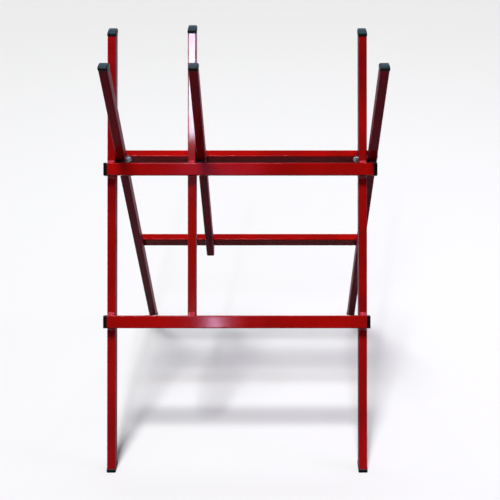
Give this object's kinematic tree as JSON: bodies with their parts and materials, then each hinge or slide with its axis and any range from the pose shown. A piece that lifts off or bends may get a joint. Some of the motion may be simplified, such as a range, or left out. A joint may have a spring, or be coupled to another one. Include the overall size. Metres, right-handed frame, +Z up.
{
  "type": "log saw stand",
  "caption": "Folding X-shaped sawing stand: crossed red steel tube frames hinged on bolts, with upright arms that form a V to hold a log.",
  "frame": {"origin": "on the floor, under the middle of the pivot axis", "axes": "+Z up; +X along the log and the pivot axis, to the right in the picture; +Y to the rear"},
  "size_m": [0.6562, 0.7312, 0.9365],
  "materials": {
    "red_paint": "gloss",
    "black_plastic": "satin",
    "zinc_plated_steel": "bright",
    "nylon": "matte"
  },
  "bodies": {
    "front_frame": {"front_left_leg": "red_paint", "front_right_leg": "red_paint", "front_middle_post": "red_paint", "front_upper_bar": "red_paint", "front_lower_bar": "red_paint", "front_weld_beads": "red_paint", "front_left_top_cap": "black_plastic", "front_middle_top_cap": "black_plastic", "front_right_top_cap": "black_plastic", "front_left_foot": "black_plastic", "front_right_foot": "black_plastic", "front_upper_bar_left_cap": "black_plastic", "front_upper_bar_right_cap": "black_plastic", "front_lower_bar_left_cap": "black_plastic", "front_lower_bar_right_cap": "black_plastic", "pivot_bolts": "zinc_plated_steel", "pivot_washers": "zinc_plated_steel", "pivot_spacers": "black_plastic", "pivot_lock_nuts": "zinc_plated_steel", "lock_nut_rings": "nylon"},
    "rear_frame": {"rear_left_leg": "red_paint", "rear_right_leg": "red_paint", "rear_middle_arm": "red_paint", "rear_upper_bar": "red_paint", "rear_lower_bar": "red_paint", "rear_weld_beads": "red_paint", "rear_left_top_cap": "black_plastic", "rear_middle_top_cap": "black_plastic", "rear_right_top_cap": "black_plastic", "rear_left_foot": "black_plastic", "rear_right_foot": "black_plastic", "rear_upper_bar_left_cap": "black_plastic", "rear_upper_bar_right_cap": "black_plastic", "rear_lower_bar_left_cap": "black_plastic", "rear_lower_bar_right_cap": "black_plastic"}
  },
  "joints": [
    {"name": "frame_fold", "type": "hinge", "parent": "front_frame", "child": "rear_frame", "pos_m": [0, 0, 0.654], "axis": [-1, 0, 0], "range_deg": [0, 54]}
  ]
}
